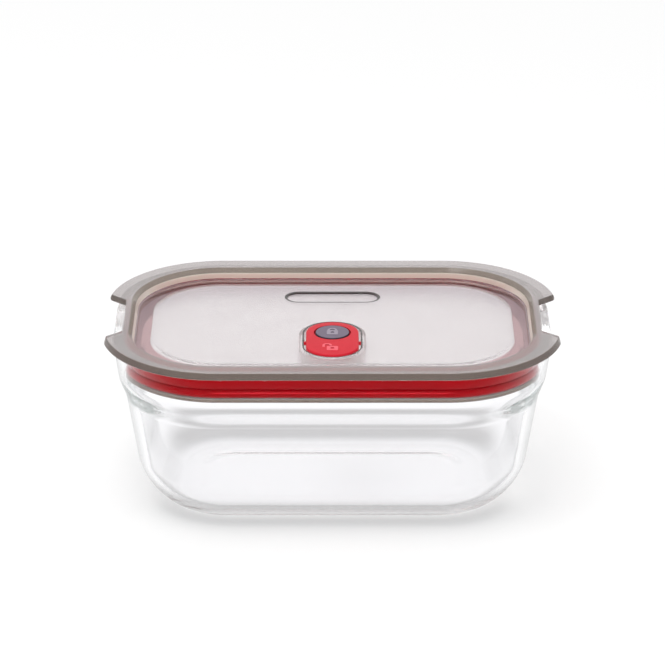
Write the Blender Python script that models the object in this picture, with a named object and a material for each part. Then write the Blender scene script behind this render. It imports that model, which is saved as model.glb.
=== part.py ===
"""Glass food storage container with a lift-off lid, a silicone seal and a tilting steam vent.

Lengths are in metres, +Z is up and the origin is the middle of the base. The long side runs
along X and the front is at -Y. All round-cornered outlines share four corner centres: an
outline's offset is how far it lies outside them, on the straight sides and round the corners.
"""

import math

import bmesh
import bpy
from mathutils import Matrix

# Fits
FIT_GAP = 0.0003
CUT_OVERRUN = 0.0010

# Main sizes of the glass, over its rim
GLASS_LENGTH = 0.2028
GLASS_WIDTH = 0.1348
GLASS_HEIGHT = 0.0816

# Points on round corners and round ends
CORNER_STEPS = 12
ROUND_STEPS = 24

# Glass: rim, collar and shoulder; the rim's offset is its corner radius
RIM_OFFSET = 0.0494
RIM_WIDTH = 0.0049
RIM_ROUNDING = 0.0014
COLLAR_HEIGHT = 0.0155
COLLAR_DRAW_IN = 0.0018
INNER_COLLAR_HEIGHT = 0.0150
INNER_COLLAR_DRAW_IN = 0.0002
SHOULDER_HEIGHT = 0.0125
SHOULDER_STEP = 0.0038

# Glass: drafted wall, round bottom edge and floor
WALL_THICKNESS = 0.0045
WALL_LEAN_SHARE = 0.161
CORNER_EASE_SHARE = 0.15
BASE_EDGE_RISE = 0.0236
BASE_EDGE_REACH = 0.0207
INNER_EDGE_RISE = 0.0180
INNER_EDGE_REACH = 0.0158
EDGE_FULLNESS_SHARE = 0.56
FLOOR_THICKNESS = 0.0050
FOOT_RING_WIDTH = 0.0060
FOOT_RECESS_DEPTH = 0.0008
SHOULDER_STEPS = 5
EDGE_STEPS = 8

# Lid: flange that sits on the glass rim, with a finger notch at each end
FLANGE_THICKNESS = 0.0031
FLANGE_SIDE_OVERHANG = 0.0031
FLANGE_END_OVERHANG = 0.0050
FLANGE_CORNER_RADIUS = 0.0541
FLANGE_EDGE_SLANT = 0.0013
FLANGE_EDGE_FOOT = 0.0004
FLANGE_INNER_INSET = 0.0021
NOTCH_RIM_LAP = 0.0004
NOTCH_INNER_HALF_WIDTH = 0.0189
NOTCH_OUTER_HALF_WIDTH = 0.0274
NOTCH_CORNER_RADIUS = 0.0018
EAR_TIP_RADIUS = 0.0040
NOTCH_CORNER_STEPS = 5

# Lid: channel, raised panel and plug wall
LID_SHEET = 0.0018
CHANNEL_DEPTH = 0.0048
CHANNEL_BREAK_DEPTH = 0.0022
CHANNEL_BREAK_REACH = 0.0011
CHANNEL_FOOT_ROUNDING = 0.0006
PANEL_DEPTH = 0.0041
PANEL_EDGE_OFFSET = 0.0302
PANEL_EDGE_SLOPE = 0.0023
PLUG_WALL = 0.0016
PLUG_DEPTH = 0.0140
LIP_HEIGHT = 0.0020
LIP_INSET = 0.0006
LIP_ROUNDING = 0.0005

# Bare name panel sunk in the lid; its middle line keeps a distance from the panel's rear edge
PILL_EDGE_DISTANCE = 0.0157
PILL_LENGTH = 0.0430
PILL_WIDTH = 0.0116
PILL_DEPTH = 0.0005

# Silicone seal ring: two rounded ribs on a flat back
SEAL_DEPTH = 0.0026
SEAL_GROOVE_DEPTH = 0.0013
SEAL_UPPER_RIB_SHARE = 0.65
RIB_STEPS = 4

# Vent: pocket in the lid; its front end's centre keeps a distance from the panel's front edge
VENT_EDGE_DISTANCE = 0.0212
VENT_STRAIGHT = 0.0150
POCKET_GAP = 0.0010
POCKET_DEPTH = 0.0081
WELL_WALL = 0.0022
WELL_FLOOR = 0.0018
VENT_HOLE_RADIUS = 0.0020
SEAT_RADIUS = 0.0036
SEAT_HEIGHT = 0.0006

# Vent: rocker and its two moulded trunnions
ROCKER_RADIUS = 0.0122
ROCKER_THICKNESS = 0.0038
ROCKER_PROUD = 0.0004
ROCKER_ROUNDING = 0.0010
TRUNNION_RADIUS = 0.0012
TRUNNION_REACH = 0.0021
TRUNNION_DEPTH = 0.0024
TRUNNION_STEPS = 16

# Vent: silicone plug, whose head is the round button
BUTTON_RADIUS = 0.00815
BUTTON_THICKNESS = 0.0016
BUTTON_ROUNDING = 0.0005
BUTTON_PROUD = 0.0004
STEM_RADIUS = 0.0040
COLLAR_RADIUS = 0.0058
COLLAR_THICKNESS = 0.0012
FOOT_RADIUS = 0.0044
FOOT_ROUNDING = 0.0005

# Places, heights and offsets that follow
CORNER_CENTRE_X = GLASS_LENGTH / 2 - RIM_OFFSET
CORNER_CENTRE_Y = GLASS_WIDTH / 2 - RIM_OFFSET
LID_SEAT = GLASS_HEIGHT + FIT_GAP
LID_TOP = LID_SEAT + FLANGE_THICKNESS
PANEL_TOP = LID_TOP - PANEL_DEPTH
PLUG_BOTTOM = LID_SEAT - PLUG_DEPTH
LIP_TOP = PLUG_BOTTOM + LIP_HEIGHT
COLLAR_INNER_OFFSET = RIM_OFFSET - RIM_WIDTH
SEAL_OUTER_OFFSET = COLLAR_INNER_OFFSET - INNER_COLLAR_DRAW_IN - FIT_GAP
SEAL_BACK_OFFSET = SEAL_OUTER_OFFSET - SEAL_DEPTH
PLUG_OUTER_OFFSET = SEAL_BACK_OFFSET - FIT_GAP
PLUG_INNER_OFFSET = PLUG_OUTER_OFFSET - PLUG_WALL
SHOULDER_FOOT = GLASS_HEIGHT - COLLAR_HEIGHT - SHOULDER_HEIGHT
WALL_TOP_OFFSET = RIM_OFFSET - COLLAR_DRAW_IN - SHOULDER_STEP
PANEL_EDGE_Y = CORNER_CENTRE_Y + PANEL_EDGE_OFFSET
PILL_CENTRE_Y = PANEL_EDGE_Y - PILL_EDGE_DISTANCE
VENT_FRONT_CENTRE_Y = VENT_EDGE_DISTANCE - PANEL_EDGE_Y
VENT_REAR_CENTRE_Y = VENT_FRONT_CENTRE_Y + VENT_STRAIGHT
VENT_CENTRE_Y = VENT_REAR_CENTRE_Y - VENT_STRAIGHT / 2
POCKET_RADIUS = ROCKER_RADIUS + POCKET_GAP
WELL_RADIUS = POCKET_RADIUS + WELL_WALL
POCKET_FLOOR = PANEL_TOP - POCKET_DEPTH
ROCKER_TOP = PANEL_TOP + ROCKER_PROUD
ROCKER_BOTTOM = ROCKER_TOP - ROCKER_THICKNESS
PIVOT_HEIGHT = ROCKER_TOP - TRUNNION_DEPTH


def clear_scene():
    for item in list(bpy.data.objects):
        bpy.data.objects.remove(item)


def plastic_or_glass(name, colour, roughness, transmission):
    """A Principled material; nothing here is metal."""
    material = bpy.data.materials.new(name)
    material.use_nodes = True
    shader = material.node_tree.nodes["Principled BSDF"]
    shader.inputs["Base Color"].default_value = (*colour, 1)
    shader.inputs["Roughness"].default_value = roughness
    shader.inputs["Metallic"].default_value = 0
    shader.inputs["Transmission Weight"].default_value = transmission
    return material


# Outlines, each a list of (x, y) running anticlockwise


def arc(centre_x, centre_y, radius, start, sweep, steps):
    angles = [start + sweep * i / steps for i in range(steps + 1)]
    return [(centre_x + radius * math.cos(a), centre_y + radius * math.sin(a)) for a in angles]


def rounded_outline(half_x, half_y, radius):
    """A rectangle with four round corners."""
    points = []
    for quarter, (sign_x, sign_y) in enumerate(((1, 1), (-1, 1), (-1, -1), (1, -1))):
        centre_x = sign_x * (half_x - radius)
        centre_y = sign_y * (half_y - radius)
        points += arc(centre_x, centre_y, radius, quarter * math.pi / 2, math.pi / 2, CORNER_STEPS)
    return points


def offset_outline(offset, eased_from=None):
    """The shared outline at an offset. Below eased_from its corners stay a little rounder."""
    ease = 0 if eased_from is None else CORNER_EASE_SHARE * max(eased_from - offset, 0)
    return rounded_outline(CORNER_CENTRE_X + offset, CORNER_CENTRE_Y + offset, offset + ease)


def flange_outline(inset):
    """The outer edge of the lid's flange, drawn in by inset."""
    half_x = CORNER_CENTRE_X + RIM_OFFSET + FLANGE_END_OVERHANG - inset
    half_y = CORNER_CENTRE_Y + RIM_OFFSET + FLANGE_SIDE_OVERHANG - inset
    return rounded_outline(half_x, half_y, FLANGE_CORNER_RADIUS - inset)


def vent_outline(radius):
    """The vent's long round-ended outline, which runs along Y."""
    steps = ROUND_STEPS // 2
    rear_end = arc(0, VENT_REAR_CENTRE_Y, radius, 0, math.pi, steps)
    return rear_end + arc(0, VENT_FRONT_CENTRE_Y, radius, math.pi, math.pi, steps)


def pill_outline():
    radius = PILL_WIDTH / 2
    reach = PILL_LENGTH / 2 - radius
    steps = ROUND_STEPS // 2
    right = arc(reach, PILL_CENTRE_Y, radius, -math.pi / 2, math.pi, steps)
    return right + arc(-reach, PILL_CENTRE_Y, radius, math.pi / 2, math.pi, steps)


# Meshes


def ring(mesh, outline, height):
    return [mesh.verts.new((x, y, height)) for x, y in outline]


def join_rings(mesh, first, second):
    count = len(first)
    for i in range(count):
        following = (i + 1) % count
        mesh.faces.new((first[i], first[following], second[following], second[i]))


def skin(stations, closed=False):
    """A solid through stations of (outline, height): capped at both ends, or closed on itself."""
    mesh = bmesh.new()
    rings = [ring(mesh, outline, height) for outline, height in stations]
    for first, second in zip(rings, rings[1:]):
        join_rings(mesh, first, second)
    if closed:
        join_rings(mesh, rings[-1], rings[0])
    else:
        mesh.faces.new(rings[0])
        mesh.faces.new(rings[-1])
    bmesh.ops.recalc_face_normals(mesh, faces=mesh.faces)
    return mesh


def turned(profile):
    """A solid of revolution about Z through (radius, height) points, capped at both ends."""
    return skin([(arc(0, 0, r, 0, 2 * math.pi, ROUND_STEPS)[:-1], z) for r, z in profile])


def place(name, mesh, material, location=(0, 0, 0)):
    data = bpy.data.meshes.new(name)
    mesh.to_mesh(data)
    mesh.free()
    data.shade_smooth()
    data.set_sharp_from_angle(angle=math.radians(30))
    item = bpy.data.objects.new(name, data)
    item.location = location
    bpy.context.scene.collection.objects.link(item)
    if material is not None:
        data.materials.append(material)
    return item


def combine(target, tool, operation):
    """A Boolean modifier; its tool is a guide that isn't part of the model."""
    tool.hide_render = True
    tool.display_type = "WIRE"
    modifier = target.modifiers.new(tool.name, "BOOLEAN")
    modifier.operation = operation
    modifier.solver = "EXACT"
    modifier.object = tool


# Glass container


def conic(start, corner, end, steps):
    """Points of a rounded corner from start to end that leans towards corner."""
    points = []
    for i in range(steps + 1):
        t = i / steps
        pulls = ((1 - t) ** 2, 2 * t * (1 - t) * EDGE_FULLNESS_SHARE, t**2)
        offset = sum(pull * point[0] for pull, point in zip(pulls, (start, corner, end)))
        height = sum(pull * point[1] for pull, point in zip(pulls, (start, corner, end)))
        points.append((offset / sum(pulls), height / sum(pulls)))
    return points


def shoulder(start, end, steps):
    """A smooth S between two (offset, height) points."""
    points = []
    for i in range(steps + 1):
        t = i / steps
        ease = t * t * (3 - 2 * t)
        points.append((start[0] + ease * (end[0] - start[0]), start[1] + t * (end[1] - start[1])))
    return points


def wall_side(collar_top, collar_foot, shoulder_foot, edge_rise, edge_reach, floor):
    """(offset, height) points down one side of the glass, from the collar to the floor."""
    edge_top = floor + edge_rise
    lean = WALL_LEAN_SHARE * (shoulder_foot[1] - edge_top)
    edge_start = (shoulder_foot[0] - lean, edge_top)
    corner = (edge_start[0] - WALL_LEAN_SHARE * edge_rise, floor)
    edge_end = (edge_start[0] - edge_reach, floor)
    points = [collar_top]
    points += shoulder(collar_foot, shoulder_foot, SHOULDER_STEPS)
    points += conic(edge_start, corner, edge_end, EDGE_STEPS)
    return points


def glass_container(material):
    inner_top = COLLAR_INNER_OFFSET
    collar_foot = GLASS_HEIGHT - COLLAR_HEIGHT
    inner_collar_foot = GLASS_HEIGHT - INNER_COLLAR_HEIGHT
    rim_side = GLASS_HEIGHT - RIM_ROUNDING
    outside = wall_side(
        (RIM_OFFSET, rim_side),
        (RIM_OFFSET - COLLAR_DRAW_IN, collar_foot),
        (WALL_TOP_OFFSET, SHOULDER_FOOT),
        BASE_EDGE_RISE,
        BASE_EDGE_REACH,
        0,
    )
    inside = wall_side(
        (inner_top, rim_side),
        (inner_top - INNER_COLLAR_DRAW_IN, inner_collar_foot),
        (WALL_TOP_OFFSET - WALL_THICKNESS, SHOULDER_FOOT),
        INNER_EDGE_RISE,
        INNER_EDGE_REACH,
        FLOOR_THICKNESS,
    )
    foot_inner = outside[-1][0] - FOOT_RING_WIDTH
    recess_edge = foot_inner - FOOT_RECESS_DEPTH
    rim_lean = RIM_ROUNDING * (1 - math.sqrt(2) / 2)
    rim = [
        (inner_top + rim_lean, GLASS_HEIGHT - rim_lean),
        (inner_top + RIM_ROUNDING, GLASS_HEIGHT),
        (RIM_OFFSET - RIM_ROUNDING, GLASS_HEIGHT),
        (RIM_OFFSET - rim_lean, GLASS_HEIGHT - rim_lean),
    ]
    stations = [(offset_outline(o, inner_top), z) for o, z in reversed(inside)]
    stations += [(offset_outline(o, RIM_OFFSET), z) for o, z in rim + outside]
    stations.append((offset_outline(foot_inner, RIM_OFFSET), 0))
    stations.append((offset_outline(recess_edge, RIM_OFFSET), FOOT_RECESS_DEPTH))
    return place("glass_container", skin(stations), material)


# Lid


def lid_stations():
    """Outlines of the lid from the middle of its panel, over the flange, to the panel's underside."""
    channel_floor = LID_TOP - CHANNEL_DEPTH
    edge_foot = LID_SEAT + FLANGE_EDGE_FOOT
    channel_under = channel_floor - LID_SHEET
    panel_under = PANEL_TOP - LID_SHEET
    lip_outer = SEAL_OUTER_OFFSET - LIP_INSET
    top = [
        (offset_outline(PANEL_EDGE_OFFSET), PANEL_TOP),
        (offset_outline(PANEL_EDGE_OFFSET + PANEL_EDGE_SLOPE), channel_floor),
        (offset_outline(PLUG_INNER_OFFSET - CHANNEL_FOOT_ROUNDING), channel_floor),
        (offset_outline(PLUG_INNER_OFFSET), channel_floor + CHANNEL_FOOT_ROUNDING),
        (offset_outline(PLUG_INNER_OFFSET + CHANNEL_BREAK_REACH), LID_TOP - CHANNEL_BREAK_DEPTH),
        (offset_outline(COLLAR_INNER_OFFSET - FLANGE_INNER_INSET), LID_TOP),
        (flange_outline(FLANGE_EDGE_SLANT), LID_TOP),
        (flange_outline(0), edge_foot),
        (flange_outline(FLANGE_EDGE_FOOT), LID_SEAT),
    ]
    plug = [
        (offset_outline(PLUG_OUTER_OFFSET), LID_SEAT),
        (offset_outline(PLUG_OUTER_OFFSET), LIP_TOP),
        (offset_outline(lip_outer), LIP_TOP),
        (offset_outline(lip_outer), PLUG_BOTTOM + LIP_ROUNDING),
        (offset_outline(lip_outer - LIP_ROUNDING), PLUG_BOTTOM),
        (offset_outline(PLUG_INNER_OFFSET), PLUG_BOTTOM),
    ]
    under = [
        (offset_outline(PLUG_INNER_OFFSET), channel_under),
        (offset_outline(PANEL_EDGE_OFFSET + PANEL_EDGE_SLOPE), channel_under),
        (offset_outline(PANEL_EDGE_OFFSET), panel_under),
    ]
    return top + plug + under


def notch_cutter(side):
    """A plan wedge through the flange at one end; side is 1 or -1 along X.

    Its inner corners are round, and it flares at the mouth so that the ears beside it end round.
    """
    inner_x = CORNER_CENTRE_X + COLLAR_INNER_OFFSET + NOTCH_RIM_LAP
    outer_x = CORNER_CENTRE_X + RIM_OFFSET + FLANGE_END_OVERHANG
    slant = (NOTCH_OUTER_HALF_WIDTH - NOTCH_INNER_HALF_WIDTH) / (outer_x - inner_x)
    lean = math.atan(slant)
    turn = math.pi / 2 - lean
    inner_y = NOTCH_INNER_HALF_WIDTH - NOTCH_CORNER_RADIUS * math.tan(turn / 2)
    radius = NOTCH_CORNER_RADIUS
    inner = arc(inner_x + radius, inner_y, radius, math.pi / 2 + lean, turn, NOTCH_CORNER_STEPS)
    ear_x, ear_y, mouth = ear_corner(inner_x, slant)
    ear = arc(ear_x, ear_y, EAR_TIP_RADIUS, -turn, mouth + turn, NOTCH_CORNER_STEPS)
    past = EAR_TIP_RADIUS + CUT_OVERRUN
    corner = (ear_x + past * math.cos(mouth), ear_y + past * math.sin(mouth))
    upper = [(outer_x + past, corner[1]), corner] + ear[::-1] + inner
    lower = [(x, -y) for x, y in reversed(upper)]
    outline = [(side * x, side * y) for x, y in upper + lower]
    mesh = skin([(outline, LID_SEAT - CUT_OVERRUN), (outline, LID_TOP + CUT_OVERRUN)])
    return place("notch_cutter", mesh, None)


def ear_corner(inner_x, slant):
    """Centre of the round tip of an ear, and the angle at which it meets the flange's edge.

    The tip touches the notch's side from above and the flange's corner from inside.
    """
    flange_x = CORNER_CENTRE_X + RIM_OFFSET + FLANGE_END_OVERHANG - FLANGE_CORNER_RADIUS
    flange_y = CORNER_CENTRE_Y + RIM_OFFSET + FLANGE_SIDE_OVERHANG - FLANGE_CORNER_RADIUS
    reach = FLANGE_CORNER_RADIUS - EAR_TIP_RADIUS
    stretch = math.sqrt(1 + slant**2)
    start = NOTCH_INNER_HALF_WIDTH - slant * inner_x + EAR_TIP_RADIUS * stretch - flange_y
    half_b = slant * start - flange_x
    c = flange_x**2 + start**2 - reach**2
    ear_x = (-half_b + math.sqrt(half_b**2 - stretch**2 * c)) / stretch**2
    ear_y = flange_y + start + slant * ear_x
    return ear_x, ear_y, math.atan2(ear_y - flange_y, ear_x - flange_x)


def across(name, radius, half_length):
    """A cylinder along X through the rocker's pivot."""
    mesh = bmesh.new()
    bmesh.ops.create_cone(
        mesh,
        cap_ends=True,
        segments=TRUNNION_STEPS,
        radius1=radius,
        radius2=radius,
        depth=2 * half_length,
        matrix=Matrix.Rotation(math.pi / 2, 4, "Y"),
    )
    return place(name, mesh, None, (0, VENT_CENTRE_Y, PIVOT_HEIGHT))


def lid(material):
    item = place("lid", skin(lid_stations()), material)
    well_top = PANEL_TOP - LID_SHEET / 2
    well_bottom = POCKET_FLOOR - WELL_FLOOR
    well = skin([(vent_outline(WELL_RADIUS), well_bottom), (vent_outline(WELL_RADIUS), well_top)])
    pocket_top = PANEL_TOP + CUT_OVERRUN
    pocket = skin([(vent_outline(POCKET_RADIUS), POCKET_FLOOR), (vent_outline(POCKET_RADIUS), pocket_top)])
    seat = turned([(SEAT_RADIUS, -WELL_FLOOR / 2), (SEAT_RADIUS, SEAT_HEIGHT)])
    hole_foot = -WELL_FLOOR - CUT_OVERRUN
    hole = turned([(VENT_HOLE_RADIUS, hole_foot), (VENT_HOLE_RADIUS, SEAT_HEIGHT + CUT_OVERRUN)])
    pill = skin([(pill_outline(), PANEL_TOP - PILL_DEPTH), (pill_outline(), PANEL_TOP + CUT_OVERRUN)])
    socket_radius = TRUNNION_RADIUS + FIT_GAP
    socket = across("socket_cutter", socket_radius, ROCKER_RADIUS + TRUNNION_REACH + FIT_GAP)
    hole_place = (0, VENT_REAR_CENTRE_Y, POCKET_FLOOR)
    combine(item, place("well_block", well, None), "UNION")
    combine(item, place("pocket_cutter", pocket, None), "DIFFERENCE")
    combine(item, place("seat_block", seat, None, hole_place), "UNION")
    combine(item, place("vent_hole_cutter", hole, None, hole_place), "DIFFERENCE")
    combine(item, socket, "DIFFERENCE")
    combine(item, place("pill_cutter", pill, None), "DIFFERENCE")
    for side in (1, -1):
        combine(item, notch_cutter(side), "DIFFERENCE")
    return item


# Seal ring


def rib(low, high):
    """(offset, height) points over one rounded rib, from its foot to its top."""
    root = SEAL_OUTER_OFFSET - SEAL_GROOVE_DEPTH
    middle = (low + high) / 2
    half = (high - low) / 2
    points = []
    for i in range(RIB_STEPS + 1):
        angle = math.pi * (i / RIB_STEPS - 1 / 2)
        points.append((root + SEAL_GROOVE_DEPTH * math.cos(angle), middle + half * math.sin(angle)))
    return points


def seal_ring(material):
    low = LIP_TOP + FIT_GAP
    high = LID_SEAT - FIT_GAP
    waist = high - SEAL_UPPER_RIB_SHARE * (high - low)
    ribs = rib(low, waist) + rib(waist, high)[1:]
    profile = [(SEAL_BACK_OFFSET, low)] + ribs + [(SEAL_BACK_OFFSET, high)]
    mesh = skin([(offset_outline(o), z) for o, z in profile], closed=True)
    return place("seal_ring", mesh, material)


# Vent rocker and plug


def vent_rocker(material):
    lean = ROCKER_ROUNDING * (1 - math.sqrt(2) / 2)
    mesh = skin(
        [
            (vent_outline(ROCKER_RADIUS), ROCKER_BOTTOM),
            (vent_outline(ROCKER_RADIUS), ROCKER_TOP - ROCKER_ROUNDING),
            (vent_outline(ROCKER_RADIUS - lean), ROCKER_TOP - lean),
            (vent_outline(ROCKER_RADIUS - ROCKER_ROUNDING), ROCKER_TOP),
        ]
    )
    item = place("vent_rocker", mesh, material)
    bed_depth = BUTTON_THICKNESS - BUTTON_PROUD + FIT_GAP
    bed = turned([(BUTTON_RADIUS + FIT_GAP, -bed_depth), (BUTTON_RADIUS + FIT_GAP, CUT_OVERRUN)])
    hole_radius = STEM_RADIUS + FIT_GAP
    hole = turned([(hole_radius, -ROCKER_THICKNESS - CUT_OVERRUN), (hole_radius, CUT_OVERRUN)])
    trunnions = across("trunnion_bar", TRUNNION_RADIUS, ROCKER_RADIUS + TRUNNION_REACH)
    button_place = (0, VENT_REAR_CENTRE_Y, ROCKER_TOP)
    combine(item, trunnions, "UNION")
    combine(item, place("button_bed_cutter", bed, None, button_place), "DIFFERENCE")
    combine(item, place("stem_hole_cutter", hole, None, button_place), "DIFFERENCE")
    return item


def vent_plug(material):
    """Button, stem, collar and foot in one piece, drawn from the foot up."""
    foot = POCKET_FLOOR + SEAT_HEIGHT + FIT_GAP - ROCKER_TOP
    collar_top = -ROCKER_THICKNESS - FIT_GAP
    collar_foot = collar_top - COLLAR_THICKNESS
    button_under = BUTTON_PROUD - BUTTON_THICKNESS
    profile = [
        (FOOT_RADIUS - FOOT_ROUNDING, foot),
        (FOOT_RADIUS, foot + FOOT_ROUNDING),
        (COLLAR_RADIUS, collar_foot),
        (COLLAR_RADIUS, collar_top),
        (STEM_RADIUS, collar_top),
        (STEM_RADIUS, button_under),
        (BUTTON_RADIUS, button_under),
        (BUTTON_RADIUS, BUTTON_PROUD - BUTTON_ROUNDING),
        (BUTTON_RADIUS - BUTTON_ROUNDING, BUTTON_PROUD),
    ]
    return place("vent_plug", turned(profile), material, (0, VENT_REAR_CENTRE_Y, ROCKER_TOP))


def hinge_pieces(pieces):
    """Parents the tilting pieces to an empty on the hinge axis, where they lie."""
    pivot = bpy.data.objects.new("vent_pivot", None)
    pivot.location = (0, VENT_CENTRE_Y, PIVOT_HEIGHT)
    bpy.context.scene.collection.objects.link(pivot)
    bpy.context.view_layer.update()
    for item in pieces:
        item.parent = pivot
        item.matrix_parent_inverse = pivot.matrix_world.inverted()


def main():
    clear_scene()
    glass = plastic_or_glass("clear_glass", (0.93, 0.96, 0.95), 0.02, 1)
    smoky = plastic_or_glass("smoky_plastic", (0.55, 0.51, 0.49), 0.25, 0.7)
    silicone = plastic_or_glass("red_silicone", (0.50, 0.005, 0.02), 0.4, 0)
    red = plastic_or_glass("red_plastic", (0.68, 0.05, 0.08), 0.35, 0)
    grey = plastic_or_glass("grey_silicone", (0.24, 0.21, 0.26), 0.45, 0)
    glass_container(glass)
    lid(smoky)
    seal_ring(silicone)
    hinge_pieces([vent_rocker(red), vent_plug(grey)])


main()
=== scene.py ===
"""Finished looks of the glass food storage container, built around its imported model.

Lengths are in metres in the model's own frame: +X along the long side, -Y to the front, +Z up,
with the origin in the middle of the base. Every round-cornered outline of the container shares
four corner centres. An outline's offset is how far it lies outside them.
"""

import math

import bmesh
import bpy
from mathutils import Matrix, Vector


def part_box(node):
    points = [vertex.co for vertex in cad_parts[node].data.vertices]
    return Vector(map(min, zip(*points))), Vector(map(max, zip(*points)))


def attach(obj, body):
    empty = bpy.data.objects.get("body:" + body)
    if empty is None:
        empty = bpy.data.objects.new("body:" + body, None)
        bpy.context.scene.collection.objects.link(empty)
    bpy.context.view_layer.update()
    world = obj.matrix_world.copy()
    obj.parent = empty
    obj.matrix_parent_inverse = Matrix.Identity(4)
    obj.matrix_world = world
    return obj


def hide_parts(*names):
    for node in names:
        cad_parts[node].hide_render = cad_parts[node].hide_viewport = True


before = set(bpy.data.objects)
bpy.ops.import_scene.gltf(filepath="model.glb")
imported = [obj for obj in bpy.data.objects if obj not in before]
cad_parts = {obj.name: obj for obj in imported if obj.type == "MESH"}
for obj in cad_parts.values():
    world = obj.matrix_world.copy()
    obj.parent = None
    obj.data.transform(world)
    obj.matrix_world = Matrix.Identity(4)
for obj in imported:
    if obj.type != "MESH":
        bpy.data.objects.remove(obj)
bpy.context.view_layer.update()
_, glass_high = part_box("glass_container")
lid_low, lid_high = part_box("lid")
seal_low, seal_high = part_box("seal_ring")
rocker_low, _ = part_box("vent_rocker")
plug_low, plug_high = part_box("vent_plug")

# How finely round shapes are drawn
CORNER_STEPS = 32
ROUND_STEPS = 48
FILLET_STEPS = 5
MERGE_DISTANCE = 0.000002
END_COLUMN_REACH = 0.0004
SUPPORT_WIDTH = 0.0015
STRAIGHT_SUPPORT = 0.008
SHARP_ANGLE = math.radians(38)

# A face is steep when the upright part of its normal is less than this
STEEP_SHARE = 0.663
BUTTON_SIDE_SHARE = 0.75

# Glass: rim, collar and shoulder
RIM_OFFSET = 0.0494
RIM_WIDTH = 0.0049
RIM_ROUNDING = 0.0014
RIM_STEPS = 8
COLLAR_HEIGHT = 0.0155
COLLAR_DRAW_IN = 0.0018
INNER_COLLAR_HEIGHT = 0.0150
INNER_COLLAR_DRAW_IN = 0.0002
SHOULDER_HEIGHT = 0.0125
SHOULDER_STEP = 0.0038
SHOULDER_STEPS = 18

# Glass: drafted wall, round bottom edge, floor and foot ring
WALL_THICKNESS = 0.0045
WALL_LEAN = 0.161
CORNER_EASE = 0.15
BASE_EDGE_RISE = 0.0236
BASE_EDGE_REACH = 0.0207
INNER_EDGE_RISE = 0.0180
INNER_EDGE_REACH = 0.0158
EDGE_FULLNESS = 0.56
EDGE_STEPS = 28
FLOOR_THICKNESS = 0.0050
FOOT_RING_WIDTH = 0.0060
FOOT_RECESS_DEPTH = 0.0004
FOOT_RECESS_SLOPE = 0.0075
FOOT_STEPS = 16
# Heights of the round bottom edge's painted shade band, which also dims lamp light
THICK_EDGE_LOW = 0.003
THICK_EDGE_HIGH = 0.015

# Lid: flange and finger notches
FLANGE_THICKNESS = 0.0031
FLANGE_CORNER_RADIUS = 0.0541
FLANGE_SIDE_OVERHANG = 0.0031
FLANGE_END_OVERHANG = 0.0050
FLANGE_EDGE_SLANT = 0.0013
FLANGE_INNER_INSET = 0.0021
FLANGE_ROUNDING = 0.0004
NOTCH_RIM_LAP = 0.0004
NOTCH_INNER_HALF_WIDTH = 0.0189
NOTCH_OUTER_HALF_WIDTH = 0.0274
NOTCH_CORNER_RADIUS = 0.0018
EAR_TIP_RADIUS = 0.0040
NOTCH_STEPS = 10

# Lid: channel, panel and plug wall
LID_SHEET = 0.0018
CHANNEL_DEPTH = 0.0048
CHANNEL_BREAK_DEPTH = 0.0022
CHANNEL_BREAK_REACH = 0.0011
PANEL_DEPTH = 0.0041
PANEL_EDGE_OFFSET = 0.0302
PANEL_EDGE_SLOPE = 0.0023
PLUG_WALL = 0.0016
LIP_HEIGHT = 0.0020
LIP_INSET = 0.0006
MILKY_DEPTH = 0.0090
MILKY_STEP = 0.0004
SMALL_FILLET = 0.0003
CHANNEL_FILLET = 0.0007
PANEL_FILLET = 0.0040

# Pill-shaped recess sunk in the lid
PILL_CENTRE_Y = 0.0325
PILL_LENGTH = 0.0430
PILL_WIDTH = 0.0116
PILL_DEPTH = 0.0009
PILL_LEDGE_WIDTH = 0.0011

# Seal
FIT_GAP = 0.0003
SEAL_DEPTH = 0.0026
SEAL_GROOVE_DEPTH = 0.0013
SEAL_UPPER_RIB_SHARE = 0.65
RIB_STEPS = 14

# Vent
VENT_REAR_CENTRE_Y = -0.0120
VENT_STRAIGHT = 0.0150
POCKET_GAP = 0.0010
POCKET_DEPTH = 0.0081
RIM_LEDGE_WIDTH = 0.0007
RIM_LEDGE_DEPTH = 0.0001
POCKET_RIM_BAND = 0.0012
WELL_WALL = 0.0022
WELL_FLOOR = 0.0018
VENT_HOLE_RADIUS = 0.0020
SEAT_RADIUS = 0.0036
SEAT_HEIGHT = 0.0006
ROCKER_RADIUS = 0.0122
ROCKER_REAR_REACH = 0.0006
ROCKER_ROUNDING = 0.0006
ROCKER_ROUNDING_STEPS = 6
BED_RADIUS = 0.0086
TRUNNION_RADIUS = 0.0009
TRUNNION_REACH = 0.0013
TRUNNION_DEPTH = 0.0024
BUTTON_RADIUS = 0.0079
BUTTON_THICKNESS = 0.0016
BUTTON_PROUD = 0.0004
BUTTON_ROUNDING = 0.0006
BUTTON_DISH = 0.0002
STEM_RADIUS = 0.0040
STEM_COLLAR_RADIUS = 0.0058
STEM_COLLAR_THICKNESS = 0.0012
STEM_FOOT_RADIUS = 0.0044
CUT_OVERRUN = 0.0010

# Padlock marks on the button, closed, and on the rocker, open
LOCK_HALF_WIDTH = 0.0026
LOCK_HALF_LENGTH = 0.0024
LOCK_CORNER_RADIUS = 0.0007
LOCK_CORNER_STEPS = 6
LOCK_RELIEF = 0.0002
LOCK_ROOT = 0.0008
SHACKLE_RADIUS = 0.0022
SHACKLE_INNER_RADIUS = 0.0011
SHACKLE_RISE = 0.0012
SHACKLE_SWING = 0.0024
SHACKLE_RELIEF = 0.00016
SHACKLE_STEPS = 16
KEYHOLE_RADIUS = 0.0009
CLOSED_LOCK_Y = -0.0128
OPEN_LOCK_Y = -0.0312

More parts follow.
